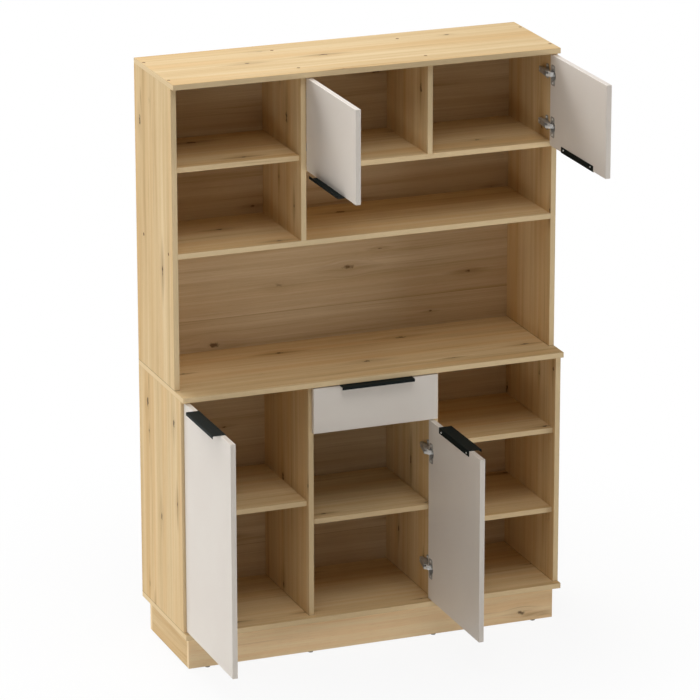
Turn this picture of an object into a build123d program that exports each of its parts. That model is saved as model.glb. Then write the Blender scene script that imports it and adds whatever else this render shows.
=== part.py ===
from build123d import *
import os
from collections import namedtuple
from math import atan2, degrees

os.makedirs("parts", exist_ok=True)

# A tall kitchen cabinet of board: a base unit on a plinth, and a hutch that stands on its worktop.
# X runs to the right, Y to the rear and Z up. The origin is on the floor, at the middle of the width,
# in the plane of the rear. The four doors stand open and the drawer is shut.

# Carcass
cabinet_width = 1200.0
board = 16.0
base_depth = 400.0
hutch_depth = 348.0
front_overhang = 22.0
base_clear_height = 718.0
hutch_clear_height = 904.0
niche_clear_height = 396.0
display_clear_height = 206.0
back_sheet = 3.0
rebate_width = 10.0
middle_shelf_setback = 2.0

# Plinth
plinth_height = 100.0
plinth_side_inset = 16.0
plinth_front_inset = 25.0
plinth_rear_inset = 25.0
plinth_joint_gap = 0.8
glide_height = 4.0
glide_radius = 7.5
glide_end_inset = 61.0

# Shelves that lie on pins, with the clear height under each
left_shelf_height = 341.5
middle_shelf_height = 281.0
right_lower_shelf_height = 219.0
right_upper_shelf_height = 472.0
shelf_setback = 14.0
shelf_end_gap = 1.0
shelf_rear_gap = 2.0
pin_radius = 2.4
pin_clearance = 0.1
pin_reach = 7.0
pin_hole_depth = 7.4
pin_row_inset = 40.0
pin_pitch = 32.0

# Caps over the screws of the top and the sides
cap_radius = 5.0
cap_depth = 6.0
cap_clearance = 0.1
cap_row_inset = 66.0
cap_front_inset = 38.0

# Flats on a small round piece or hole, and on a disc
small_sides = 8
disc_sides = 12

# Fronts
front_thickness = 16.0
front_gap = 3.5
front_side_reveal = 2.0
front_meeting_gap = 2.0
front_top_gap = 3.5
front_bottom_gap = 5.0
drawer_front_height = 140.0
drawer_door_gap = 4.5
shelf_edge_cover = 10.5
front_edge_chamfer = 1.0

# Edge pulls, bent from sheet
pull_length = 228.0
pull_sheet = 1.5
pull_flange = 17.0
pull_overhang = 23.5
pull_lip = 9.0
pull_bend_cut = 1.0

# Concealed hinges. Plan places are measured on the shut door: from its hinge edge, and from its inner face,
# where a place inside the cabinet is positive and a place in the door is negative.
hinge_end_base = 100.0
hinge_end_hutch = 60.0
cup_radius = 17.5
cup_sides = 20
cup_depth = 12.0
cup_wall = 0.9
cup_edge_distance = 3.5
cup_clearance = 0.1
flange_thickness = 1.2
flange_width = 26.0
flange_height = 62.0
flange_corner = 4.0
hinge_pin_radius = 1.2
hinge_pin_clearance = 0.06
arm_pin_outer = Vector(32.0, 4.0)
arm_pin_inner = Vector(26.3, 0.9)
cup_pin_outer = Vector(11.14, -8.2)
cup_pin_inner = Vector(12.0, -3.07)
outer_link_knee = Vector(23.6, -8.2)
inner_link_knee = Vector(26.0, -9.55)
outer_link_turn = 0.13
inner_link_turn = 0.5
open_angle = 90.0
link_knee_radius = 1.6
link_eye_radius = 2.6
link_height = 6.2
link_side_gap = 0.2
inner_slot_radius = 2.05
inner_slot_wall = 1.0
inner_slot_back = 3.3
inner_slot_front = 0.7
arm_nose_radius = 2.4
arm_sheet = 1.2
arm_side_gap = 0.5
arm_rear = 70.0
arm_front = 26.0
arm_seat = 5.0
arm_rail = 9.0
arm_web_from = 12.0
plate_centre = 37.0
plate_wing_width = 16.0
plate_wing_height = 44.0
plate_wing_corner = 3.0
plate_wing_sheet = 2.0
plate_rail_length = 44.0
plate_rail_width = 12.0

# Drawer box and its telescopic runners
runner_width = 12.7
runner_sheet = 1.2
runner_height = 45.0
runner_play = 0.4
runner_web_play = 0.8
runner_lip = 11.0
runner_front_inset = 2.0
runner_rear_gap = 23.0
drawer_side = 12.0
drawer_side_height = 100.0
drawer_lift = 13.0
drawer_rear_gap = 33.5
drawer_bottom = 3.0
drawer_groove = 4.5
drawer_groove_lift = 10.0
drawer_groove_play = 0.1

# Levels, from the floor up
plinth_top = glide_height + plinth_height
base_floor = plinth_top + board
worktop_under = base_floor + base_clear_height
worktop_top = worktop_under + board
long_shelf_under = worktop_top + niche_clear_height
long_shelf_top = long_shelf_under + board
display_top = long_shelf_top + display_clear_height
upper_floor = display_top + board
top_under = worktop_top + hutch_clear_height
top_level = top_under + board
hutch_left_shelf_under = long_shelf_top + (top_under - long_shelf_top - board) / 2

# Places across the width
outer_right = cabinet_width / 2
outer_left = -outer_right
inner_left = outer_left + board
inner_right = outer_right - board
column_width = (inner_right - inner_left - 2 * board) / 3
left_divider = inner_left + column_width
right_divider = inner_right - column_width - board

# Places from front to rear
base_front = front_overhang - base_depth
hutch_front = front_overhang - hutch_depth
back_front = -back_sheet

# Edges of the fronts
front_left = outer_left + front_side_reveal
front_right = outer_right - front_side_reveal
meet_left = left_divider + board / 2
meet_right = right_divider + board / 2
half_meeting = front_meeting_gap / 2
base_front_top = worktop_under - front_top_gap
base_front_bottom = base_floor + front_bottom_gap
drawer_front_bottom = base_front_top - drawer_front_height
hutch_front_top = top_under - front_top_gap
hutch_front_bottom = upper_floor - shelf_edge_cover

Door = namedtuple("Door", "name side hinge_edge free_edge face bottom top pull_on hinge_end post")

doors = [
    Door("base_left_door", "left", front_left, meet_left - half_meeting, base_front - front_gap,
         base_front_bottom, base_front_top, "top", hinge_end_base, inner_left),
    Door("base_middle_door", "right", meet_right - half_meeting, meet_left + half_meeting,
         base_front - front_gap, base_front_bottom, drawer_front_bottom - drawer_door_gap, "top",
         hinge_end_base, right_divider),
    Door("hutch_left_door", "left", meet_left + half_meeting, meet_right - half_meeting,
         hutch_front - front_gap, hutch_front_bottom, hutch_front_top, "bottom", hinge_end_hutch,
         left_divider + board),
    Door("hutch_right_door", "right", front_right, meet_right + half_meeting, hutch_front - front_gap,
         hutch_front_bottom, hutch_front_top, "bottom", hinge_end_hutch, inner_right),
]


def save(node, solids):
    group = [solid for shape in solids for solid in shape.solids()]
    whole = group[0] if len(group) == 1 else Compound(group)
    export_step(whole, os.path.join("parts", node + ".step"))


def block(x_low, x_high, y_low, y_high, z_low, z_high):
    middle = Pos((x_low + x_high) / 2, (y_low + y_high) / 2, (z_low + z_high) / 2)
    return middle * Box(x_high - x_low, y_high - y_low, z_high - z_low)


def small_round(radius, sides=small_sides):
    return RegularPolygon(radius, sides)


def small_hole(radius, sides=small_sides):
    return RegularPolygon(radius, sides, major_radius=False)


def prism_x(x_low, x_high, y, z, outline):
    return extrude(Plane(origin=(x_low, y, z), z_dir=(1, 0, 0)) * outline, x_high - x_low)


def prism_z(x, y, z_low, z_high, outline):
    return extrude(Pos(x, y, z_low) * outline, z_high - z_low)


# Screw caps, each in a shallow hole

def cap_plug(place, outline):
    return place * extrude(outline, -cap_depth)


cap_rows = [hutch_front + cap_front_inset, -cap_row_inset]
upright_middles = [outer_left + board / 2, meet_left, meet_right, outer_right - board / 2]
top_caps = [Pos(x, y, top_level) for x in upright_middles for y in cap_rows]
long_shelf_middle = long_shelf_under + board / 2
left_caps = [Pos(outer_left, y, long_shelf_middle) * Rot(0, -90, 0) for y in cap_rows]
right_caps = [Pos(outer_right, y, long_shelf_middle) * Rot(0, 90, 0) for y in cap_rows]


def drilled(shape, places):
    return shape - [cap_plug(place, small_hole(cap_radius + cap_clearance, disc_sides)) for place in places]


# Shelf pins

def pin_level(shelf_under):
    return shelf_under - pin_radius - pin_clearance


def pin_rows(front):
    return [front + pin_row_inset, back_front - pin_row_inset]


def pin_holes(face_x, inward, front, shelf_under):
    # three holes in each row, so that the shelf can go up or down by a pitch
    low = min(face_x, face_x - inward * pin_hole_depth)
    high = max(face_x, face_x - inward * pin_hole_depth)
    holes = []
    for y in pin_rows(front):
        for step in (-1, 0, 1):
            level = pin_level(shelf_under) + step * pin_pitch
            holes.append(prism_x(low, high, y, level, small_hole(pin_radius + pin_clearance)))
    return holes


def shelf_pins(left_face, right_face, front, shelf_under):
    pins = []
    for y in pin_rows(front):
        level = pin_level(shelf_under)
        pin = small_round(pin_radius)
        pins.append(prism_x(left_face - pin_hole_depth, left_face + pin_reach, y, level, pin))
        pins.append(prism_x(right_face - pin_reach, right_face + pin_hole_depth, y, level, pin))
    return pins


def pin_shelf(left_face, right_face, front, shelf_under):
    return block(left_face + shelf_end_gap, right_face - shelf_end_gap, front + shelf_setback,
                 back_front - shelf_rear_gap, shelf_under, shelf_under + board)


left_shelf_under = base_floor + left_shelf_height
middle_shelf_under = base_floor + middle_shelf_height
right_lower_under = base_floor + right_lower_shelf_height
right_upper_under = base_floor + right_upper_shelf_height

# Each shelf: node, faces of the uprights beside it, front of those uprights, level of its underside
pin_shelves = [
    ("base_left_shelf", inner_left, left_divider, base_front, left_shelf_under),
    ("base_middle_shelf", left_divider + board, right_divider, base_front, middle_shelf_under),
    ("base_right_lower_shelf", right_divider + board, inner_right, base_front, right_lower_under),
    ("base_right_upper_shelf", right_divider + board, inner_right, base_front, right_upper_under),
    ("hutch_left_shelf", inner_left, left_divider, hutch_front, hutch_left_shelf_under),
]


def with_pin_holes(upright, left_face, right_face, z_low, z_high):
    # the holes of every shelf that lies against this upright
    for node, shelf_left, shelf_right, front, under in pin_shelves:
        if not z_low < under < z_high:
            continue
        if abs(shelf_left - right_face) < pin_clearance:
            upright = upright - pin_holes(shelf_left, 1, front, under)
        if abs(shelf_right - left_face) < pin_clearance:
            upright = upright - pin_holes(shelf_right, -1, front, under)
    return upright


# Plinth

def make_plinth():
    left = outer_left + plinth_side_inset
    right = outer_right - plinth_side_inset
    front = plinth_front_inset - base_depth
    rear = -plinth_rear_inset
    levels = (glide_height, plinth_top)
    side_rear = rear - board - plinth_joint_gap
    save("plinth_front", [block(left, right, front, front + board, *levels)])
    save("plinth_rear", [block(left, right, rear - board, rear, *levels)])
    save("plinth_left", [block(left, left + board, front + board, side_rear, *levels)])
    save("plinth_right", [block(right - board, right, front + board, side_rear, *levels)])
    glides = []
    glide_x = [left + glide_end_inset, meet_left, meet_right, right - glide_end_inset]
    for y in (front + board / 2, rear - board / 2):
        for x in glide_x:
            glides.append(prism_z(x, y, 0, glide_height, small_round(glide_radius, disc_sides)))
    save("floor_glides", glides)


# Base unit and hutch

def side_panel(outer_face, inner_face, front, z_low, z_high):
    left = min(outer_face, inner_face)
    right = max(outer_face, inner_face)
    panel = block(left, right, front, 0, z_low, z_high)
    inward = 1 if inner_face > outer_face else -1
    rebate_face = inner_face - inward * rebate_width
    rebate = block(min(rebate_face, inner_face), max(rebate_face, inner_face), back_front, 0, z_low, z_high)
    return with_pin_holes(panel - rebate, left, right, z_low, z_high)


def divider(left_face, front, z_low, z_high):
    panel = block(left_face, left_face + board, front, back_front, z_low, z_high)
    return with_pin_holes(panel, left_face, left_face + board, z_low, z_high)


def back_panel(z_low, z_high):
    reach = inner_right + rebate_width
    return block(-reach, reach, back_front, 0, z_low, z_high)


def make_carcass():
    base_levels = (base_floor, worktop_under)
    hutch_levels = (worktop_top, top_under)
    save("base_bottom", [block(outer_left, outer_right, -base_depth, 0, plinth_top, base_floor)])
    save("base_left_side", [side_panel(outer_left, inner_left, base_front, *base_levels)])
    save("base_right_side", [side_panel(outer_right, inner_right, base_front, *base_levels)])
    save("base_left_divider", [divider(left_divider, base_front, *base_levels)])
    save("base_right_divider", [divider(right_divider, base_front, *base_levels)])
    save("base_back", [back_panel(*base_levels)])
    save("worktop", [block(outer_left, outer_right, -base_depth, 0, worktop_under, worktop_top)])

    hutch_left = drilled(side_panel(outer_left, inner_left, hutch_front, *hutch_levels), left_caps)
    hutch_right = drilled(side_panel(outer_right, inner_right, hutch_front, *hutch_levels), right_caps)
    long_shelf = block(inner_left, inner_right, hutch_front, back_front, long_shelf_under, long_shelf_top)
    middle_shelf = block(left_divider + board, inner_right, hutch_front + middle_shelf_setback, back_front,
                         display_top, upper_floor)
    top_board = block(outer_left, outer_right, -hutch_depth, 0, top_under, top_level)
    save("hutch_left_side", [hutch_left])
    save("hutch_right_side", [hutch_right])
    save("hutch_long_shelf", [long_shelf])
    save("hutch_middle_shelf", [middle_shelf])
    save("hutch_left_divider", [divider(left_divider, hutch_front, long_shelf_top, top_under)])
    save("hutch_right_divider", [divider(right_divider, hutch_front, upper_floor, top_under)])
    save("hutch_top", [drilled(top_board, top_caps)])
    save("hutch_back", [back_panel(*hutch_levels)])
    caps = [cap_plug(place, small_round(cap_radius, disc_sides)) for place in top_caps + left_caps + right_caps]
    save("screw_caps", caps)


def make_shelves():
    pins = []
    for node, left_face, right_face, front, under in pin_shelves:
        save(node, [pin_shelf(left_face, right_face, front, under)])
        pins.extend(shelf_pins(left_face, right_face, front, under))
    save("shelf_pins", pins)


# Fronts and their pulls

def front_panel(x_low, x_high, face, bottom, top):
    panel = block(x_low, x_high, face - front_thickness, face, bottom, top)
    return chamfer(panel.edges(), front_edge_chamfer)


def pull(middle_x, face, edge, upward):
    # profile across the front: a flange on the inner face, a plate over the edge and a turned lip
    outer = edge + upward * pull_sheet
    flange_end = edge - upward * pull_flange
    lip_end = edge - upward * (pull_lip - pull_sheet)
    lip_face = face - front_thickness - pull_overhang
    profile = Polyline(
        (face, flange_end),
        (face, edge),
        (lip_face + pull_sheet, edge),
        (lip_face + pull_sheet, lip_end),
        (lip_face, lip_end),
        (lip_face, outer - upward * pull_bend_cut),
        (lip_face + pull_bend_cut, outer),
        (face + pull_sheet - pull_bend_cut, outer),
        (face + pull_sheet, outer - upward * pull_bend_cut),
        (face + pull_sheet, flange_end),
        close=True,
    )
    return Pos(middle_x - pull_length / 2, 0, 0) * extrude(Plane.YZ * make_face(profile), pull_length)


# Concealed hinge, in plan about the hinge edge of a shut door that hangs on its left

def flat(point, level=0.0):
    return Pos(point.X, point.Y, level)


def turn_about(point, angle):
    return flat(point) * Rot(0, 0, angle) * Pos(-point.X, -point.Y, 0)


def turned(point, centre, angle):
    return (point - centre).rotate(Axis.Z, angle) + centre


outer_link_open = turn_about(arm_pin_outer, outer_link_turn * open_angle)
door_open = outer_link_open * turn_about(cup_pin_outer, -(1 + outer_link_turn) * open_angle)
cup_pin_outer_rest = turned(cup_pin_outer, arm_pin_outer, outer_link_turn * open_angle)
cup_pin_inner_rest = (cup_pin_inner - cup_pin_outer).rotate(Axis.Z, -open_angle) + cup_pin_outer_rest
cup_middle = cup_edge_distance + cup_radius
outer_layer = (-link_side_gap - link_height, -link_side_gap)
inner_layer = (link_side_gap, link_side_gap + link_height)
arm_half = link_side_gap + link_height + arm_side_gap


def cup_prism(outline, low, high):
    # from one depth to another, square to the door's inner face
    plan = Plane(origin=(cup_middle, low, 0), x_dir=(1, 0, 0), z_dir=(0, 1, 0))
    return extrude(plan * outline, high - low)


def hinge_cup():
    # a dish let into the door, a flange on the door's face, and two pins that stand in from the dish's wall
    shell = cup_prism(small_round(cup_radius, cup_sides), -cup_depth, 0)
    pocket = cup_prism(small_hole(cup_radius - cup_wall, cup_sides), cup_wall - cup_depth, flange_thickness)
    wings = Rectangle(flange_width, flange_height)
    wings = chamfer(wings.vertices(), flange_corner)
    flange = cup_prism(wings, 0, flange_thickness)
    pin = small_round(hinge_pin_radius)
    outer_pin = prism_z(cup_pin_outer.X, cup_pin_outer.Y, -cup_radius, outer_layer[1], pin)
    inner_pin = prism_z(cup_pin_inner.X, cup_pin_inner.Y, inner_layer[0], cup_radius, pin)
    pins = (outer_pin + inner_pin) & shell
    return shell + flange - pocket + pins


def bar(first, first_radius, second, second_radius):
    # a flat bar with a round at each end
    across = (second - first).normalized().rotate(Axis.Z, 90)
    corners = [first + across * first_radius, second + across * second_radius,
               second - across * second_radius, first - across * first_radius]
    web = make_face(Polyline(*corners, close=True))
    angle = degrees(atan2(across.Y, across.X))
    turn = Rot(0, 0, angle)
    return web + flat(first) * turn * small_round(first_radius) + flat(second) * turn * small_round(second_radius)


def link_plate(outline, layer):
    return extrude(Pos(0, 0, layer[0]) * outline, layer[1] - layer[0])


def outer_link():
    # drawn on the shut door, then turned to the open one
    bore_radius = hinge_pin_radius + hinge_pin_clearance
    outline = bar(cup_pin_outer, link_eye_radius, outer_link_knee, link_knee_radius)
    outline = outline + bar(outer_link_knee, link_knee_radius, arm_pin_outer, link_eye_radius)
    outline = outline - flat(arm_pin_outer) * small_hole(bore_radius) - flat(cup_pin_outer) * Circle(bore_radius)
    return outer_link_open * link_plate(outline, outer_layer)


def inner_link():
    # drawn on the open door; its cup end is a slot that leaves the pin room as the door turns
    along = (cup_pin_inner_rest - arm_pin_inner).normalized()
    slot_back = cup_pin_inner_rest - along * inner_slot_back
    slot_front = cup_pin_inner_rest + along * inner_slot_front
    slot_radius = inner_slot_radius + inner_slot_wall
    outline = bar(slot_back, slot_radius, slot_front, slot_radius)
    outline = outline + bar(slot_back, link_knee_radius, inner_link_knee, link_knee_radius)
    outline = outline + bar(inner_link_knee, link_knee_radius, arm_pin_inner, link_eye_radius)
    outline = outline - bar(slot_back, inner_slot_radius, slot_front, inner_slot_radius)
    outline = outline - flat(arm_pin_inner) * small_hole(hinge_pin_radius + hinge_pin_clearance)
    return link_plate(outline, inner_layer)


def hinge_arm(overlay):
    # two cheeks with a web between them, shaped in plan round the plate's rail and the two pins
    seat = overlay + arm_seat
    rail = Pos(seat + arm_rail / 2, (arm_front + arm_rear) / 2) * Rectangle(arm_rail, arm_rear - arm_front)
    noses = [flat(pin) * small_round(arm_nose_radius) for pin in (arm_pin_outer, arm_pin_inner)]
    outline = make_hull((rail + noses).edges())
    cheek = extrude(outline, arm_sheet)
    lower = Pos(0, 0, -arm_half - arm_sheet) * cheek
    upper = Pos(0, 0, arm_half) * cheek
    web_reach = max(seat + arm_rail, arm_pin_outer.X + arm_nose_radius)
    web_front = Pos((seat + web_reach) / 2 + arm_rail / 2, (arm_web_from + arm_rear) / 2)
    web_area = web_front * Rectangle(web_reach - seat, arm_rear - arm_web_from)
    shell = outline - offset(outline, -arm_sheet)
    web = extrude(Pos(0, 0, -arm_half) * (shell & web_area), 2 * arm_half)
    pin = small_round(hinge_pin_radius)
    outer_pin = prism_z(arm_pin_outer.X, arm_pin_outer.Y, -arm_half, arm_half, pin)
    inner_pin = prism_z(arm_pin_inner.X, arm_pin_inner.Y, inner_layer[0], arm_half, pin)
    return lower + upper + web + outer_pin + inner_pin


def hinge_plate(overlay):
    # a cross of sheet on the upright and a rail that the arm is clamped on
    plan = Plane(origin=(overlay, plate_centre, 0), x_dir=(0, 1, 0), z_dir=(1, 0, 0))
    wings = Rectangle(plate_wing_width, plate_wing_height)
    wings = chamfer(wings.vertices(), plate_wing_corner)
    cross = extrude(plan * wings, plate_wing_sheet)
    rail = extrude(plan * Rectangle(plate_rail_length, plate_rail_width), arm_seat + arm_rail / 2)
    return cross + rail


def hung(door, shape):
    handed = shape if door.side == "left" else mirror(shape, about=Plane.YZ)
    return Pos(door.hinge_edge, door.face, 0) * handed


def make_doors():
    arms = {"base": [], "hutch": []}
    plates = {"base": [], "hutch": []}
    cup = hinge_cup()
    outer = outer_link()
    inner = inner_link()
    for door in doors:
        unit = door.name.split("_")[0]
        width = abs(door.free_edge - door.hinge_edge)
        overlay = abs(door.post - door.hinge_edge)
        levels = [door.top - door.hinge_end, door.bottom + door.hinge_end]
        upward = 1 if door.pull_on == "top" else -1
        edge = door.top if door.pull_on == "top" else door.bottom
        panel = front_panel(0, width, 0, door.bottom, door.top)
        arm = hinge_arm(overlay)
        plate = hinge_plate(overlay)
        for level in levels:
            bore = cup_prism(small_hole(cup_radius + cup_clearance, cup_sides), -cup_depth, 0)
            panel = panel - Pos(0, 0, level) * bore
            arms[unit].append(hung(door, Pos(0, 0, level) * arm))
            plates[unit].append(hung(door, Pos(0, 0, level) * plate))
        save(door.name, [hung(door, door_open * panel)])
        save(door.name + "_pull", [hung(door, door_open * pull(width / 2, 0, edge, upward))])
        save(door.name + "_hinge_cups", [hung(door, Pos(0, 0, level) * door_open * cup) for level in levels])
        save(door.name + "_outer_links", [hung(door, Pos(0, 0, level) * outer) for level in levels])
        save(door.name + "_inner_links", [hung(door, Pos(0, 0, level) * inner) for level in levels])
        pins = [cup_pin_outer_rest, arm_pin_outer, arm_pin_inner]
        hand = 1 if door.side == "left" else -1
        places = [(round(door.hinge_edge + hand * pin.X, 3), round(door.face + pin.Y, 3)) for pin in pins]
        print(door.name, "cup pin, outer and inner arm pins in plan:", places, "heights:", levels)
    for unit in arms:
        save(unit + "_hinge_arms", arms[unit])
        save(unit + "_hinge_plates", plates[unit])


# Drawer

def channel(web_face, inward, half_height, depth, length_front):
    # a channel that runs front to rear, its web on web_face and its lips reaching inward
    x_far = web_face + inward * depth
    x_web = web_face + inward * runner_sheet
    rear = back_front - runner_rear_gap
    whole = block(min(web_face, x_far), max(web_face, x_far), length_front, rear, -half_height, half_height)
    gap = half_height - runner_sheet
    hollow = block(min(x_web, x_far), max(x_web, x_far), length_front, rear, -gap, gap)
    return whole - hollow


def make_drawer():
    left_face = left_divider + board
    right_face = right_divider
    face = base_front - front_gap
    bottom = drawer_front_bottom + drawer_lift
    top = bottom + drawer_side_height
    box_left = left_face + runner_width
    box_right = right_face - runner_width
    rear = back_front - drawer_rear_gap
    groove_low = bottom + drawer_groove_lift
    groove_high = groove_low + drawer_bottom
    sheet = block(box_left + drawer_side - drawer_groove, box_right - drawer_side + drawer_groove,
                  face, rear, groove_low, groove_high)
    groove = block(box_left + drawer_side - drawer_groove - drawer_groove_play,
                   box_right - drawer_side + drawer_groove + drawer_groove_play,
                   face, rear, groove_low, groove_high)
    front = front_panel(meet_left + half_meeting, meet_right - half_meeting, face, drawer_front_bottom,
                        base_front_top)
    save("drawer_front", [front])
    save("drawer_left_side", [block(box_left, box_left + drawer_side, face, rear, bottom, top) - groove])
    save("drawer_right_side", [block(box_right - drawer_side, box_right, face, rear, bottom, top) - groove])
    save("drawer_back", [block(box_left + drawer_side, box_right - drawer_side, rear - drawer_side, rear,
                               groove_high, top)])
    save("drawer_bottom", [sheet])
    save("drawer_pull", [pull((meet_left + meet_right) / 2, face, base_front_top, 1)])

    middle = (bottom + top) / 2
    front_end = base_front + runner_front_inset
    fixed = []
    sliding = []
    moving = []
    middle_half = runner_height / 2 - runner_sheet - runner_play
    inner_half = middle_half - runner_sheet - runner_play
    web_step = runner_sheet + runner_web_play
    for wall, box_face, inward in ((left_face, box_left, 1), (right_face, box_right, -1)):
        lift = Pos(0, 0, middle)
        fixed.append(lift * channel(wall, inward, runner_height / 2, runner_lip, front_end))
        sliding.append(lift * channel(wall + inward * web_step, inward, middle_half, runner_lip - web_step,
                                      front_end))
        moving.append(lift * channel(box_face, -inward, inner_half, runner_width - 2 * web_step, front_end))
    save("runner_fixed_members", fixed)
    save("runner_middle_members", sliding)
    save("runner_drawer_members", moving)


make_plinth()
make_carcass()
make_shelves()
make_doors()
make_drawer()
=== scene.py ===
import math
import bmesh
import bpy
from mathutils import Matrix, Vector


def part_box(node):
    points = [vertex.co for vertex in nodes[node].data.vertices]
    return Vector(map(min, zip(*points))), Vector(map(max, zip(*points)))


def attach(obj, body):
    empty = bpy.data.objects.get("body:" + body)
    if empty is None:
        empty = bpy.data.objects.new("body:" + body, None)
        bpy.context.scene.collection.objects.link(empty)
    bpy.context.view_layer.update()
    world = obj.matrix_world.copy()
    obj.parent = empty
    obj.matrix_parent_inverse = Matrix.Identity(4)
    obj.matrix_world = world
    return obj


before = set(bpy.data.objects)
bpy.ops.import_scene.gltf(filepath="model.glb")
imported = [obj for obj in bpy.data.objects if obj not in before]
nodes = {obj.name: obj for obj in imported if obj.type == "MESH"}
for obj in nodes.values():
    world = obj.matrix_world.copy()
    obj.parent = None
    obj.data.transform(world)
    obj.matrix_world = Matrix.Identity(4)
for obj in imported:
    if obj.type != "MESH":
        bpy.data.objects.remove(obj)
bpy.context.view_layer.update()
print("frame loaded:", len(nodes), "nodes")


# a socket that takes part in Python expressions
class Wire:
    def __init__(self, tree, socket=None):
        self.tree = tree
        self.socket = socket

    # any node: its settings go in first, then values or links for its sockets
    def node(self, kind, settings=None, inputs=None, out=0):
        made = self.tree.nodes.new(kind)
        for name, value in (settings or {}).items():
            setattr(made, name, value)
        for name, value in (inputs or {}).items():
            if isinstance(value, Wire):
                self.tree.links.new(value.socket, made.inputs[name])
            else:
                made.inputs[name].default_value = value
        return Wire(self.tree, made.outputs[out] if made.outputs else None)

    # another output of the same node
    def other(self, name):
        return Wire(self.tree, self.socket.node.outputs[name])

    def math(self, operation, first, second=0.0):
        return self.node("ShaderNodeMath", {"operation": operation}, {0: first, 1: second})

    def __add__(self, other):
        return self.math("ADD", self, other)

    def __radd__(self, other):
        return self.math("ADD", other, self)

    def __sub__(self, other):
        return self.math("SUBTRACT", self, other)

    def __rsub__(self, other):
        return self.math("SUBTRACT", other, self)

    def __mul__(self, other):
        return self.math("MULTIPLY", self, other)

    def __rmul__(self, other):
        return self.math("MULTIPLY", other, self)

    def __truediv__(self, other):
        return self.math("DIVIDE", self, other)

    def __rtruediv__(self, other):
        return self.math("DIVIDE", other, self)

    def __pow__(self, other):
        return self.math("POWER", self, other)

    def __rpow__(self, other):
        return self.math("POWER", other, self)

    def __gt__(self, other):
        return self.math("GREATER_THAN", self, other)

    def __lt__(self, other):
        return self.math("LESS_THAN", self, other)

    def __abs__(self):
        return self.math("ABSOLUTE", self)

    def floor(self):
        return self.math("FLOOR", self)

    def atLeast(self, other):
        return self.math("MAXIMUM", self, other)

    # 0 below the first value, 1 above the second, smooth between them
    def ease(self, low, high):
        settings = {"interpolation_type": "SMOOTHSTEP"}
        return self.node("ShaderNodeMapRange", settings, {"Value": self, "From Min": low, "From Max": high})

    # the other way round: 1 below the first value, 0 above the second
    def fade(self, low, high):
        return 1.0 - self.ease(low, high)


# sRGB 0-255 to the linear colour that sockets take
def paint(red, green, blue):
    linear = []
    for part in (red, green, blue):
        part = part / 255
        linear.append(part / 12.92 if part <= 0.04045 else ((part + 0.055) / 1.055) ** 2.4)
    return (*linear, 1.0)


def newMaterial(name):
    material = bpy.data.materials.new(name)
    material.use_nodes = True
    tree = material.node_tree
    tree.nodes.clear()
    return material, Wire(tree)


def closeMaterial(start, inputs):
    shader = start.node("ShaderNodeBsdfPrincipled", inputs=inputs)
    start.node("ShaderNodeOutputMaterial", inputs={"Surface": shader})


# a Mix node takes its colours at sockets 6 and 7, and gives the mixed one at output 2
def tint(start, mask, first, second):
    return start.node("ShaderNodeMix", {"data_type": "RGBA"}, {0: mask, 6: first, 7: second}, 2)


def restPlace(start):
    return start.node("ShaderNodeTexCoord", out="Object")


def splitVector(start, vector):
    return start.node("ShaderNodeSeparateXYZ", inputs={"Vector": vector})


def stretched(start, place, scale):
    return start.node("ShaderNodeMapping", inputs={"Vector": place, "Scale": scale})


def noise(start, place, scale, detail=3.0, rough=0.55):
    values = {"Vector": place, "Scale": scale, "Detail": detail, "Roughness": rough}
    return start.node("ShaderNodeTexNoise", inputs=values)


def bump(start, height, strength, distance):
    values = {"Height": height, "Strength": strength, "Distance": distance}
    return start.node("ShaderNodeBump", inputs=values)


noiseMiddle = 0.5     # what a noise gives on average
faceOn = (0.6, 0.8)   # how far a normal has to lie along an axis for a face to count as facing it

# oak decor: its colours and finish, and its layers of figure
# a layer is how often it changes in a metre along and across the grain, its detail and its roughness
oak = {
    "pale": paint(236, 211, 168),
    "mid": paint(223, 194, 147),
    "deep": paint(197, 161, 111),
    "streak": paint(154, 115, 71),
    "amber": paint(222, 178, 116),
    "knot": paint(72, 52, 34),
    "wander": (1.0, 2.4, 2.0, 0.55),
    "broad": (0.6, 8.0, 2.0, 0.55),
    "warmth": (0.5, 15.0, 2.0, 0.55),
    "bands": (0.9, 44.0, 4.0, 0.62),
    "lines": (4.0, 330.0, 2.0, 0.6),
    "pores": (30.0, 1200.0, 1.0, 0.55),
    "streaks": (1.5, 70.0, 3.0, 0.6),
    "cracks": (90.0, 210.0, 2.0, 0.65),
    "knots": (2.9, 6.6),
    "knotShare": 0.72,
    "roughness": 0.56,
    "specular": 0.05,
    "bump": (0.10, 0.0005),
}
# the plinth's decor has few knots; its front and rear take a paler copy, painted light that brightens the
# low front; the backs' is greyer with fainter knots
plinthEndOak = {**oak, "knotShare": 0.05}
plinthOakPaintedLight = {
    **plinthEndOak,
    "pale": paint(249, 225, 184),
    "mid": paint(244, 211, 166),
    "deep": paint(219, 181, 131),
    "amber": paint(240, 199, 144),
}
backOak = {
    **oak,
    "pale": paint(228, 207, 174),
    "mid": paint(213, 188, 151),
    "deep": paint(187, 157, 117),
    "amber": paint(208, 177, 134),
    "knot": paint(104, 78, 50),
    "knotShare": 0.40,
}
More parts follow.
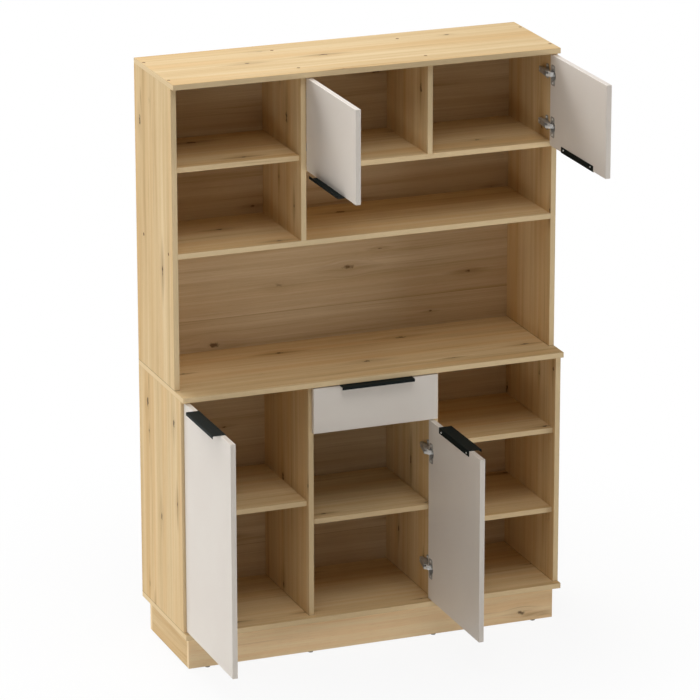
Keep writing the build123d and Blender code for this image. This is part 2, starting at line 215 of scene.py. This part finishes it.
# where each tint of the oak sets in, and how strong it gets
oakTints = {
    "toneWeights": {"broad": 0.9, "bands": 1.5, "lines": 0.7},
    "mid": (0.10, 0.62),
    "deep": (0.55, 1.05),
    "deepShare": 0.85,
    "amber": (0.40, 0.72),
    "amberShare": 0.42,
    "edgeBandShare": 0.8,
    "streak": (0.60, 0.76),
    "streakBands": (0.42, 0.62),
    "streakShare": 0.38,
    "streakAtKnot": 0.5,
    "haloShare": 0.20,
    "tail": (0.34, 0.60),
    "tailShare": 0.62,
    "glueLine": (0.01, 0.06),
    "glueLineShare": 0.4,
    "pores": (0.60, 0.76),
    "poreShare": 0.22,
    "eyeShare": 0.86,
    "poreDullness": 0.5,
    "lineSheen": 0.10,
    "wanderReach": 0.022,
    "partingReach": 0.75,
    "bumpWeights": {"pores": 0.5, "lines": 0.5},
}
# each board takes its own piece of the decor: boards to a metre, and the steps from one to the next
boardStep = {"perMetre": 14.0, "along": 1.93, "across": 3.71, "layer": 1.37}
# knots of the print: their sizes, and the reach of halo, tail and eye
printedKnot = {
    "randomness": 0.9,
    "pickEdge": 0.02,
    "smallest": 0.35,
    "spread": 0.9,
    "halo": (0.03, 0.26),
    "tailLength": (0.01, 0.13),
    "tailWidth": (0.002, 0.017),
    "eye": (0.008, 0.052),
    "crackReach": 0.11,
    "streakReach": 0.05,
}
# knots at places of their own, which reach no other board
placedKnot = {
    "board": (0.030, 0.032),
    "halo": (0.03, 0.24),
    "tailPlace": (0.045, -0.010),
    "tailLength": (0.02, 0.07),
    "tailWidth": (0.002, 0.012),
    "eye": (0.010, 0.058),
}
# the one knot that each left side shows plainly: height, depth and board
hutchKnots = [(1.600, -0.045, -0.592)]
baseKnots = [(0.745, -0.078, -0.592)]
# the one knot of the plinth's front, low at its right end: length, height and board
plinthKnots = [(0.485, 0.031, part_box("plinth_front")[0].y)]
# painted contact shadow: a dark line at the foot of the uprights, where they stand on the worktop and on
# the bottom
hutchSeamShadow = {"level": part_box("hutch_left_side")[0].z, "height": 0.0024, "share": 0.7}
baseSeamShadow = {"level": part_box("base_left_side")[0].z, "height": 0.0024, "share": 0.6}
# the backs: plank joints of the decor at two levels, and bare hardboard at the rear
backSheet = {
    "joints": (0.226, 0.952),
    "jointHalf": 0.0016,
    "jointShare": 0.5,
    "plankStep": 1.7,
    "colour": paint(178, 141, 101),
    "fibre": paint(146, 110, 75),
    "fibreNoise": (420.0, 3.0, 0.7),
    "fibreMask": (0.35, 0.70),
    "fibreShare": 0.7,
    "blotch": paint(160, 121, 82),
    "blotchNoise": (9.0, 5.0, 0.65),
    "blotchMask": (0.42, 0.66),
    "blotchShare": 0.6,
    "dullness": 0.25,
}


def plan(start, along, across, layer):
    return start.node("ShaderNodeCombineXYZ", inputs={"X": along, "Y": across, "Z": layer})


# one layer of figure at a place in the decor
def grain(start, where, figure):
    along, across, layer = where
    oftenAlong, oftenAcross, detail, rough = figure
    place = plan(start, along * oftenAlong, across * oftenAcross, layer * boardStep["layer"])
    return noise(start, place, 1.0, detail, rough)


# where a point of a board lies; axes names the board's length, width and thickness
def boardPlace(start, axes, shift, rear):
    corner = splitVector(start, restPlace(start))
    layer = (corner.other(axes[2]) * boardStep["perMetre"]).floor()
    joint = 0.0
    if rear:
        for level in rear["joints"]:
            above = corner.other("Z") - level
            layer = layer + (above > 0.0) * rear["plankStep"]
            joint = abs(above).fade(0.0, rear["jointHalf"]) + joint
    facing = splitVector(start, start.node("ShaderNodeNewGeometry", out="Normal"))
    broadFace = abs(facing.other(axes[2])).ease(*faceOn)
    along = corner.other(axes[0]) + layer * boardStep["along"] + shift[0]
    across = corner.other(axes[1]) * broadFace + corner.other(axes[2]) * (1.0 - broadFace)
    across = across + layer * boardStep["across"] + shift[1]
    return {"corner": corner, "facing": facing, "broadFace": broadFace, "joint": joint,
            "where": (along, across, layer)}


# knots of the print, in some of the cells only
def makePrintedKnots(start, look, board):
    along, across, layer = board["where"]
    wide, high = look["knots"]
    place = plan(start, along * wide, across * high, 0.0)
    cells = start.node("ShaderNodeTexVoronoi", {"voronoi_dimensions": "2D"},
                       {"Vector": place, "Scale": 1.0, "Randomness": printedKnot["randomness"]})
    pick = start.node("ShaderNodeSeparateColor", inputs={"Color": cells.other("Color")})
    share, edge = look["knotShare"], printedKnot["pickEdge"]
    chosen = pick.fade(share - edge, share + edge) * board["broadFace"]
    size = pick.other("Green") * printedKnot["spread"] + printedKnot["smallest"]
    middle = splitVector(start, cells.other("Position"))
    ahead = along - middle / wide
    aside = across - middle.other("Y") / high
    reach = cells / size
    tail = (abs(ahead) / size).fade(*printedKnot["tailLength"]) * chosen
    tail = tail * (abs(aside) / size).fade(*printedKnot["tailWidth"])
    return {"reach": reach, "aside": aside, "halo": reach.fade(*printedKnot["halo"]) * chosen, "tail": tail,
            "eye": printedKnot["eye"], "shown": chosen}


# a knot at a place of its own
def makePlacedKnot(look, axes, board, place):
    corner = board["corner"]
    wide, high = look["knots"]
    here = abs(corner.other(axes[2]) - place[2]).fade(*placedKnot["board"]) * board["broadFace"]
    ahead = corner.other(axes[0]) - place[0]
    aside = corner.other(axes[1]) - place[1]
    reach = ((ahead * wide) * (ahead * wide) + (aside * high) * (aside * high)) ** 0.5
    tailAhead, tailAside = placedKnot["tailPlace"]
    tail = abs(ahead - tailAhead).fade(*placedKnot["tailLength"]) * here
    tail = tail * abs(aside - tailAside).fade(*placedKnot["tailWidth"])
    return {"reach": reach, "aside": aside, "halo": reach.fade(*placedKnot["halo"]) * here, "tail": tail,
            "eye": placedKnot["eye"], "shown": here}


def hardboard(start, look):
    place = restPlace(start)
    fibre = noise(start, place, *look["fibreNoise"])
    blotch = noise(start, place, *look["blotchNoise"])
    bare = tint(start, fibre.ease(*look["fibreMask"]) * look["fibreShare"], look["colour"], look["fibre"])
    return tint(start, blotch.ease(*look["blotchMask"]) * look["blotchShare"], bare, look["blotch"])


def makeOak(name, axes, look, shift, rear=None, seamShadow=None, placed=()):
    material, start = newMaterial(name)
    tints = oakTints
    board = boardPlace(start, axes, shift, rear)
    broadFace = board["broadFace"]
    knots = [makePrintedKnots(start, look, board)]
    knots += [makePlacedKnot(look, axes, board, place) for place in placed]
    halo, tail = knots[0]["halo"], knots[0]["tail"]
    parting = knots[0]["aside"] * halo
    for knot in knots[1:]:
        parting = parting + knot["aside"] * knot["halo"]
        halo = halo.atLeast(knot["halo"])
        tail = tail.atLeast(knot["tail"])

    # the grain wanders a little, and parts round a knot
    along, across, layer = board["where"]
    wander = grain(start, board["where"], look["wander"]) - noiseMiddle
    across = across + wander * tints["wanderReach"] - parting * tints["partingReach"]
    where = (along, across, layer)
    broad = grain(start, where, look["broad"])
    bands = grain(start, where, look["bands"])
    lines = grain(start, where, look["lines"])
    pores = grain(start, where, look["pores"])
    streaks = grain(start, where, look["streaks"])
    warmth = grain(start, where, look["warmth"])
    cracks = grain(start, where, look["cracks"])

    # bands of tone, warm and cool
    weights = tints["toneWeights"]
    tone = (broad - noiseMiddle) * weights["broad"] + (bands - noiseMiddle) * weights["bands"]
    tone = tone + (lines - noiseMiddle) * weights["lines"] + noiseMiddle
    colour = tint(start, tone.ease(*tints["mid"]), look["pale"], look["mid"])
    colour = tint(start, tone.ease(*tints["deep"]) * tints["deepShare"], colour, look["deep"])
    colour = tint(start, warmth.ease(*tints["amber"]) * tints["amberShare"], colour, look["amber"])
    colour = tint(start, (1.0 - broadFace) * tints["edgeBandShare"], colour, look["pale"])

    # brown streaks, in the darker bands and round the knots
    dark = bands.ease(*tints["streakBands"]) * tints["streakShare"] + halo * tints["streakAtKnot"]
    dark = streaks.ease(*tints["streak"]) * dark
    brown = tail * streaks.ease(*tints["tail"]) * tints["tailShare"]
    colour = tint(start, (dark + halo * tints["haloShare"]).atLeast(brown), colour, look["streak"])

    # glue lines beside the edge bands, open pores, and the knots' eyes
    through = splitVector(start, start.node("ShaderNodeTexCoord", out="Generated")).other(axes[2])
    inside = through.ease(*tints["glueLine"]) * (1.0 - through).ease(*tints["glueLine"])
    glueLine = (1.0 - inside) * (1.0 - broadFace)
    colour = tint(start, glueLine * tints["glueLineShare"], colour, look["streak"])
    openPores = pores.ease(*tints["pores"]) * tints["poreShare"]
    colour = tint(start, openPores, colour, look["streak"])
    eye = None
    for knot in knots:
        ragged = knot["reach"] + (cracks - noiseMiddle) * printedKnot["crackReach"]
        ragged = ragged + (streaks - noiseMiddle) * printedKnot["streakReach"]
        ownEye = ragged.fade(*knot["eye"]) * knot["shown"]
        eye = eye.atLeast(ownEye) if eye else ownEye
    colour = tint(start, eye * tints["eyeShare"], colour, look["knot"])

    # painted contact shadow along the foot of the upright
    if seamShadow:
        lift = board["corner"].other("Z") - seamShadow["level"]
        colour = tint(start, lift.fade(0.0, seamShadow["height"]) * seamShadow["share"], colour, look["knot"])
    roughness = openPores * tints["poreDullness"] - (lines - noiseMiddle) * tints["lineSheen"]
    roughness = roughness + look["roughness"]
    if rear:
        colour = tint(start, board["joint"] * rear["jointShare"], colour, look["streak"])
        behind = board["facing"].other("Y").ease(*faceOn)
        colour = tint(start, behind, colour, hardboard(start, rear))
        roughness = roughness + behind * rear["dullness"]
    bumpWeights = tints["bumpWeights"]
    relief = pores * bumpWeights["pores"] + lines * bumpWeights["lines"]
    closeMaterial(start, {
        "Base Color": colour,
        "Roughness": roughness,
        "Specular IOR Level": look["specular"],
        "Normal": bump(start, relief, *look["bump"]),
    })
    return material


# warm grey laminate of the fronts
frontLaminate = {
    "colour": paint(232, 224, 214),
    "cloud": paint(230, 221, 211),
    "cloudNoise": (5.0, 3.0),
    "cloudMask": (0.35, 0.7),
    "peelNoise": (900.0, 2.0),
    "peelSheen": 0.12,
    "roughness": 0.40,
    "specular": 0.42,
    "bump": (0.05, 0.0003),
}


def makeLaminate(name, look):
    material, start = newMaterial(name)
    place = restPlace(start)
    cloud = noise(start, place, *look["cloudNoise"])
    peel = noise(start, place, *look["peelNoise"])
    closeMaterial(start, {
        "Base Color": tint(start, cloud.ease(*look["cloudMask"]), look["colour"], look["cloud"]),
        "Roughness": look["roughness"] + (peel - noiseMiddle) * look["peelSheen"],
        "Specular IOR Level": look["specular"],
        "Normal": bump(start, peel, *look["bump"]),
    })
    return material


# powder coat of the pulls, a little rubbed
pullCoat = {
    "colour": paint(13, 20, 19),
    "worn": paint(22, 29, 28),
    "gritNoise": (1400.0, 2.0, 0.6),
    "gritMask": (0.6, 0.8),
    "gritShare": 0.2,
    "gritDullness": 0.16,
    "rubStretch": (14.0, 14.0, 40.0),
    "rubMask": (0.55, 0.85),
    "rubShare": 0.5,
    "roughness": 0.52,
    "specular": 0.10,
    "bump": (0.22, 0.0003),
}


def makeCoat(name, look):
    material, start = newMaterial(name)
    place = restPlace(start)
    grit = noise(start, place, *look["gritNoise"])
    rub = noise(start, stretched(start, place, look["rubStretch"]), 1.0)
    worn = rub.ease(*look["rubMask"]) * look["rubShare"] + grit.ease(*look["gritMask"]) * look["gritShare"]
    closeMaterial(start, {
        "Base Color": tint(start, worn, look["colour"], look["worn"]),
        "Roughness": look["roughness"] + grit * look["gritDullness"],
        "Specular IOR Level": look["specular"],
        "Normal": bump(start, grit, *look["bump"]),
    })
    return material


# plated steels: one look for the hinges, one for their links, one for the runners, one for screws and pins
hingeSteel = {
    "colour": paint(176, 172, 166), "stain": paint(150, 146, 139), "streak": (90, 90, 700),
    "metal": 0.45, "roughness": 0.42,
}
linkSteel = {
    "colour": paint(240, 240, 238), "stain": paint(224, 223, 220), "streak": (700, 700, 90),
    "metal": 0.22, "roughness": 0.40,
}
runnerSteel = {
    "colour": paint(190, 193, 195), "stain": paint(164, 167, 170), "streak": (600, 40, 600),
    "metal": 0.85, "roughness": 0.38,
}
screwSteel = {
    "colour": paint(222, 221, 218), "stain": paint(192, 190, 185), "streak": (300, 300, 300),
    "metal": 0.55, "roughness": 0.34,
}
plating = {
    "streakDetail": (2.0, 0.6), "streakSheen": 0.20,
    "stainNoise": (60.0, 3.0), "stainMask": (0.40, 0.75), "stainDullness": 0.08,
    "bump": (0.08, 0.0002),
}


def makeSteel(name, look):
    material, start = newMaterial(name)
    place = restPlace(start)
    streak = noise(start, stretched(start, place, look["streak"]), 1.0, *plating["streakDetail"])
    stain = noise(start, place, *plating["stainNoise"])
    roughness = look["roughness"] + (streak - noiseMiddle) * plating["streakSheen"]
    closeMaterial(start, {
        "Base Color": tint(start, stain.ease(*plating["stainMask"]), look["colour"], look["stain"]),
        "Metallic": look["metal"],
        "Roughness": roughness + stain * plating["stainDullness"],
        "Normal": bump(start, streak, *plating["bump"]),
    })
    return material


# moulded and painted small parts, and the white board of the drawer box
glidePlastic = {
    "colour": paint(150, 150, 148), "cloud": paint(128, 128, 126), "grain": 900.0,
    "roughness": 0.5, "specular": 0.4,
}
capPaint = {
    "colour": paint(140, 98, 54), "cloud": paint(118, 80, 44), "grain": 700.0,
    "roughness": 0.5, "specular": 0.1,
}
drawerBoard = {
    "colour": paint(232, 230, 225), "cloud": paint(224, 221, 214), "grain": 500.0,
    "roughness": 0.45, "specular": 0.4,
}
moulding = {
    "grainDetail": 2.0, "grainSheen": 0.15,
    "cloudNoise": (24.0, 2.0), "cloudMask": (0.3, 0.7),
    "bump": (0.12, 0.0003),
}


def makeMoulded(name, look):
    material, start = newMaterial(name)
    place = restPlace(start)
    fineGrain = noise(start, place, look["grain"], moulding["grainDetail"])
    cloud = noise(start, place, *moulding["cloudNoise"])
    closeMaterial(start, {
        "Base Color": tint(start, cloud.ease(*moulding["cloudMask"]), look["colour"], look["cloud"]),
        "Roughness": look["roughness"] + (fineGrain - noiseMiddle) * moulding["grainSheen"],
        "Specular IOR Level": look["specular"],
        "Normal": bump(start, fineGrain, *moulding["bump"]),
    })
    return material


# each oak has its grain along the first axis named, and starts at its own place in the decor
oakLevel = makeOak("oakLevel", "XYZ", oak, (0.0, 0.0))
oakUpright = makeOak("oakUpright", "ZYX", oak, (0.4, 1.3), seamShadow=hutchSeamShadow, placed=hutchKnots)
oakUprightLow = makeOak("oakUprightLow", "ZYX", oak, (5.7, 9.1), seamShadow=baseSeamShadow, placed=baseKnots)
oakBack = makeOak("oakBack", "XZY", backOak, (2.2, 0.6), rear=backSheet)
# paler oak on the plinth's front and rear: painted light
oakPlinthPaintedLight = makeOak("oakPlinthPaintedLight", "XZY", plinthOakPaintedLight, (8.3, 4.4), placed=plinthKnots)
oakPlinthEnd = makeOak("oakPlinthEnd", "YZX", plinthEndOak, (1.1, 6.2))
laminate = makeLaminate("frontLaminate", frontLaminate)
blackCoat = makeCoat("pullCoat", pullCoat)
hingeMetal = makeSteel("hingeSteel", hingeSteel)
linkMetal = makeSteel("linkSteel", linkSteel)
runnerMetal = makeSteel("runnerSteel", runnerSteel)
screwMetal = makeSteel("screwSteel", screwSteel)
glideGrey = makeMoulded("glidePlastic", glidePlastic)
capBrown = makeMoulded("capPaint", capPaint)
drawerWhite = makeMoulded("drawerBoard", drawerBoard)
print("materials made:", len(bpy.data.materials))


# dress every CAD node
def finishFor(node):
    if node.endswith("_pull"):
        return blackCoat
    if node.endswith("_door") or node == "drawer_front":
        return laminate
    if node.startswith("drawer_"):
        return drawerWhite
    if node.startswith("runner_"):
        return runnerMetal
    if node.endswith("_links"):
        return linkMetal
    if "hinge_" in node:
        return hingeMetal
    if node == "floor_glides":
        return glideGrey
    if node == "screw_caps":
        return capBrown
    if node == "shelf_pins":
        return screwMetal
    if node.endswith("_back"):
        return oakBack
    if node.endswith("_side") or node.endswith("_divider"):
        return oakUprightLow if node.startswith("base_") else oakUpright
    if node in ("plinth_front", "plinth_rear"):
        return oakPlinthPaintedLight
    if node.startswith("plinth_"):
        return oakPlinthEnd
    return oakLevel


for node, piece in nodes.items():
    piece.data.materials.clear()
    piece.data.materials.append(finishFor(node))
print("nodes dressed")


# a screw head: rings as shares of its radius and height, then the cross recess
screwShape = {
    "sides": 24,
    "profile": [(1.0, 0.0), (1.0, 0.35), (0.92, 0.70), (0.74, 0.98)],
    "recess": 0.62,
    "recessCorner": 0.40,
    "recessFloor": (0.72, 0.35),
}


# along +Z from its seat, turned to the normal
def screwHead(mesh, radius, height, place, normal):
    sides = screwShape["sides"]
    turn = Vector((0, 0, 1)).rotation_difference(normal).to_matrix().to_4x4()
    seat = Matrix.Translation(place) @ turn
    rings = []
    for share, lift in screwShape["profile"]:
        rings.append([(radius * share, lift * height)] * sides)
    recess = radius * screwShape["recess"]
    quarter = sides // 4
    arm = (0, 1, quarter - 1)
    innerCorner = recess * screwShape["recessCorner"]
    cross = [recess if step % quarter in arm else innerCorner for step in range(sides)]
    rings.append([(reach, height) for reach in cross])
    floorShare, floorLift = screwShape["recessFloor"]
    rings.append([(reach * floorShare, height * floorLift) for reach in cross])
    loops = []
    for ring in rings:
        loop = []
        for step, (reach, lift) in enumerate(ring):
            angle = 2 * math.pi * step / sides
            point = Vector((reach * math.cos(angle), reach * math.sin(angle), lift))
            loop.append(mesh.verts.new(seat @ point))
        loops.append(loop)
    for lower, upper in zip(loops, loops[1:]):
        for step in range(sides):
            after = (step + 1) % sides
            mesh.faces.new((lower[step], lower[after], upper[after], upper[step]))
    mesh.faces.new(loops[-1])
    mesh.faces.new(list(reversed(loops[0])))


def screwGroup(name, body, heads):
    mesh = bmesh.new()
    for radius, place, normal in heads:
        screwHead(mesh, radius, fittings["headHeight"], place, normal)
    data = bpy.data.meshes.new(name)
    mesh.to_mesh(data)
    mesh.free()
    piece = bpy.data.objects.new(name, data)
    bpy.context.scene.collection.objects.link(piece)
    data.materials.append(screwMetal)
    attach(piece, body)


# the doors: hand is 1 for a door that hangs on its left
doorFittings = {
    "base_left_door": {"hand": 1, "upright": "base_left_side", "pullAt": "top"},
    "base_middle_door": {"hand": -1, "upright": "base_right_divider", "pullAt": "top"},
    "hutch_left_door": {"hand": 1, "upright": "hutch_left_divider", "pullAt": "bottom"},
    "hutch_right_door": {"hand": -1, "upright": "hutch_right_side", "pullAt": "bottom"},
}
# sizes of pulls, cups, plates and arms, and the radius of each screw
fittings = {
    "pullSpacing": 0.192, "pullSheet": 0.0015, "pullFlange": 0.017,
    "pullScrewShare": 0.58, "pullScrew": 0.0029,
    "cupInset": 0.021, "cupHalfSpan": 0.031, "cupSpacing": 0.048, "cupScrew": 0.0036,
    "plateInset": 0.0335, "plateSheet": 0.002, "plateSpacing": 0.032, "plateScrew": 0.0040,
    "armTop": 0.014, "armScrews": (0.044, 0.060), "armScrew": 0.0036, "headHeight": 0.0016,
}
pair = (-0.5, 0.5)     # a screw on either side of the middle


def pullScrewLevel(low, high, pullAt):
    drop = fittings["pullFlange"] * fittings["pullScrewShare"]
    if pullAt == "top":
        return high.z - fittings["pullSheet"] - drop
    return low.z + fittings["pullSheet"] + drop


def doorHeads(door, fit, inward, levels):
    low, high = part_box(door + "_pull")
    faceX = high.x if fit["hand"] > 0 else low.x
    middle = (low.y + high.y) / 2
    level = pullScrewLevel(low, high, fit["pullAt"])
    heads = []
    for side in pair:
        place = Vector((faceX, middle + side * fittings["pullSpacing"], level))
        heads.append((fittings["pullScrew"], place, inward))
    low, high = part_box(door + "_hinge_cups")
    faceX = high.x if fit["hand"] > 0 else low.x
    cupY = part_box(door)[1].y - fittings["cupInset"]
    for level in levels:
        for side in pair:
            place = Vector((faceX, cupY, level + side * fittings["cupSpacing"]))
            heads.append((fittings["cupScrew"], place, inward))
    return heads


def hingeHeads(fit, inward, levels):
    low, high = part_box(fit["upright"])
    hand = fit["hand"]
    faceX = high.x if hand > 0 else low.x
    plateX = faceX + hand * fittings["plateSheet"]
    plateY = low.y + fittings["plateInset"]
    armX = faceX + hand * fittings["armTop"]
    heads = []
    for level in levels:
        for side in pair:
            place = Vector((plateX, plateY, level + side * fittings["plateSpacing"]))
            heads.append((fittings["plateScrew"], place, inward))
        for inset in fittings["armScrews"]:
            heads.append((fittings["armScrew"], Vector((armX, low.y + inset, level)), inward))
    return heads


plateHeads = []
for door, fit in doorFittings.items():
    inward = Vector((fit["hand"], 0, 0))
    low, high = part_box(door + "_hinge_cups")
    hingeLevels = (low.z + fittings["cupHalfSpan"], high.z - fittings["cupHalfSpan"])
    screwGroup(door + "_screws", door, doorHeads(door, fit, inward, hingeLevels))
    plateHeads += hingeHeads(fit, inward, hingeLevels)
screwGroup("hinge_plate_screws", "cabinet", plateHeads)

low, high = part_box("drawer_pull")
middle = (low.x + high.x) / 2
level = pullScrewLevel(low, high, "top")
drawerHeads = []
for side in pair:
    place = Vector((middle + side * fittings["pullSpacing"], high.y, level))
    drawerHeads.append((fittings["pullScrew"], place, Vector((0, 1, 0))))
screwGroup("drawer_pull_screws", "drawer", drawerHeads)
print("screws fitted")


# the pale floor, white to the camera but for a soft shadow near the cabinet
floorLook = {
    "size": 60.0,
    "colour": paint(244, 244, 243),
    "white": (1.0, 1.0, 1.0, 1.0),
    "shade": 0.10,
    "shadeReach": (0.5, 1.6),
}


# rays that show the white: straight from the camera, mirrored or through glass
def seenWhite(start):
    camera = start.node("ShaderNodeLightPath", out="Is Camera Ray")
    return camera.atLeast(camera.other("Is Glossy Ray")).atLeast(camera.other("Is Transmission Ray"))


def makeFloor(look):
    mesh = bmesh.new()
    half = look["size"] / 2
    corners = [mesh.verts.new((x * half, y * half, 0.0)) for x, y in ((-1, -1), (1, -1), (1, 1), (-1, 1))]
    mesh.faces.new(corners)
    data = bpy.data.meshes.new("floor")
    mesh.to_mesh(data)
    mesh.free()
    floor = bpy.data.objects.new("floor", data)
    bpy.context.scene.collection.objects.link(floor)
    material, start = newMaterial("floorPaint")
    matte = start.node("ShaderNodeBsdfDiffuse", inputs={"Color": look["colour"]})
    glow = start.node("ShaderNodeEmission", inputs={"Color": look["white"], "Strength": 1.0})
    away = start.node("ShaderNodeVectorMath", {"operation": "LENGTH"}, {0: restPlace(start)}, "Value")
    shade = away.fade(*look["shadeReach"]) * look["shade"]     # the shadow fades into the white
    shown = seenWhite(start) * (1.0 - shade)
    mixed = start.node("ShaderNodeMixShader", inputs={0: shown, 1: matte, 2: glow})
    start.node("ShaderNodeOutputMaterial", inputs={"Surface": mixed})
    data.materials.append(material)


skyLook = {"seen": (1.0, 1.0, 1.0, 1.0), "fill": (1.0, 0.985, 0.965, 1.0), "fillStrength": 0.10}


def makeSky(look):
    world = bpy.data.worlds.new("studio")
    bpy.context.scene.world = world
    world.use_nodes = True
    tree = world.node_tree
    tree.nodes.clear()
    start = Wire(tree)
    fillValues = {"Color": look["fill"], "Strength": look["fillStrength"]}
    fill = start.node("ShaderNodeBackground", inputs=fillValues)
    white = start.node("ShaderNodeBackground", inputs={"Color": look["seen"], "Strength": 1.0})
    mixed = start.node("ShaderNodeMixShader", inputs={0: seenWhite(start), 1: fill, 2: white})
    start.node("ShaderNodeOutputWorld", inputs={"Surface": mixed})


# soft boxes: place, what they look at, size, power
softBoxes = {
    "softBoxAbove": {"place": (-0.8, -0.9, 5.4), "aim": (0.0, -0.2, 0.9), "size": (4.6, 4.6), "watts": 68},
    "softBoxLeft": {"place": (-5.8, 3.0, 2.4), "aim": (0.0, -0.2, 0.9), "size": (4.0, 3.4), "watts": 155},
    "softBoxHigh": {"place": (-0.6, -4.2, 6.6), "aim": (0.0, -0.3, 0.9), "size": (3.4, 2.6), "watts": 72},
    "softBoxLow": {"place": (-4.5, -4.5, 0.35), "aim": (0.0, -0.4, 0.15), "size": (3.0, 0.6), "watts": 24},
    "softBoxRight": {"place": (5.7, -3.6, 0.7), "aim": (0.0, -0.3, 0.6), "size": (3.0, 1.2), "watts": 105},
    "softBoxRear": {"place": (-1.4, 3.8, 5.4), "aim": (0.0, 0.0, 1.0), "size": (3.6, 2.4), "watts": 228},
}


def makeSoftBox(name, look):
    light = bpy.data.lights.new(name, "AREA")
    light.shape = "RECTANGLE"
    light.size, light.size_y = look["size"]
    light.energy = look["watts"]
    lamp = bpy.data.objects.new(name, light)
    bpy.context.scene.collection.objects.link(lamp)
    lamp.location = look["place"]
    toward = Vector(look["aim"]) - Vector(look["place"])
    lamp.rotation_euler = toward.to_track_quat("-Z", "Y").to_euler()


# the photo's viewing angle: metres, degrees and millimetres
cameraLook = {
    "place": (-4.5972, -12.0631, 4.9590),
    "azimuth": -21.16,
    "elevation": 17.81,
    "roll": -0.07,
    "lens": 231.3,
    "sensor": 36.0,
    "clipEnd": 200.0,
}


def makeCamera(look):
    azimuth = math.radians(look["azimuth"])
    elevation = math.radians(look["elevation"])
    backward = Vector((math.sin(azimuth) * math.cos(elevation), -math.cos(azimuth) * math.cos(elevation),
                       math.sin(elevation)))
    data = bpy.data.cameras.new("camera")
    data.lens = look["lens"]
    data.sensor_width = look["sensor"]
    data.sensor_fit = "HORIZONTAL"
    data.clip_end = look["clipEnd"]
    camera = bpy.data.objects.new("camera", data)
    bpy.context.scene.collection.objects.link(camera)
    facing = backward.to_track_quat("Z", "Y").to_matrix().to_4x4()
    roll = Matrix.Rotation(math.radians(look["roll"]), 4, "Z")
    camera.matrix_world = Matrix.Translation(look["place"]) @ facing @ roll
    bpy.context.scene.camera = camera


makeFloor(floorLook)
makeSky(skyLook)
for lampName, lampLook in softBoxes.items():
    makeSoftBox(lampName, lampLook)
makeCamera(cameraLook)
bpy.context.scene.view_settings.view_transform = "Standard"
print("studio ready")
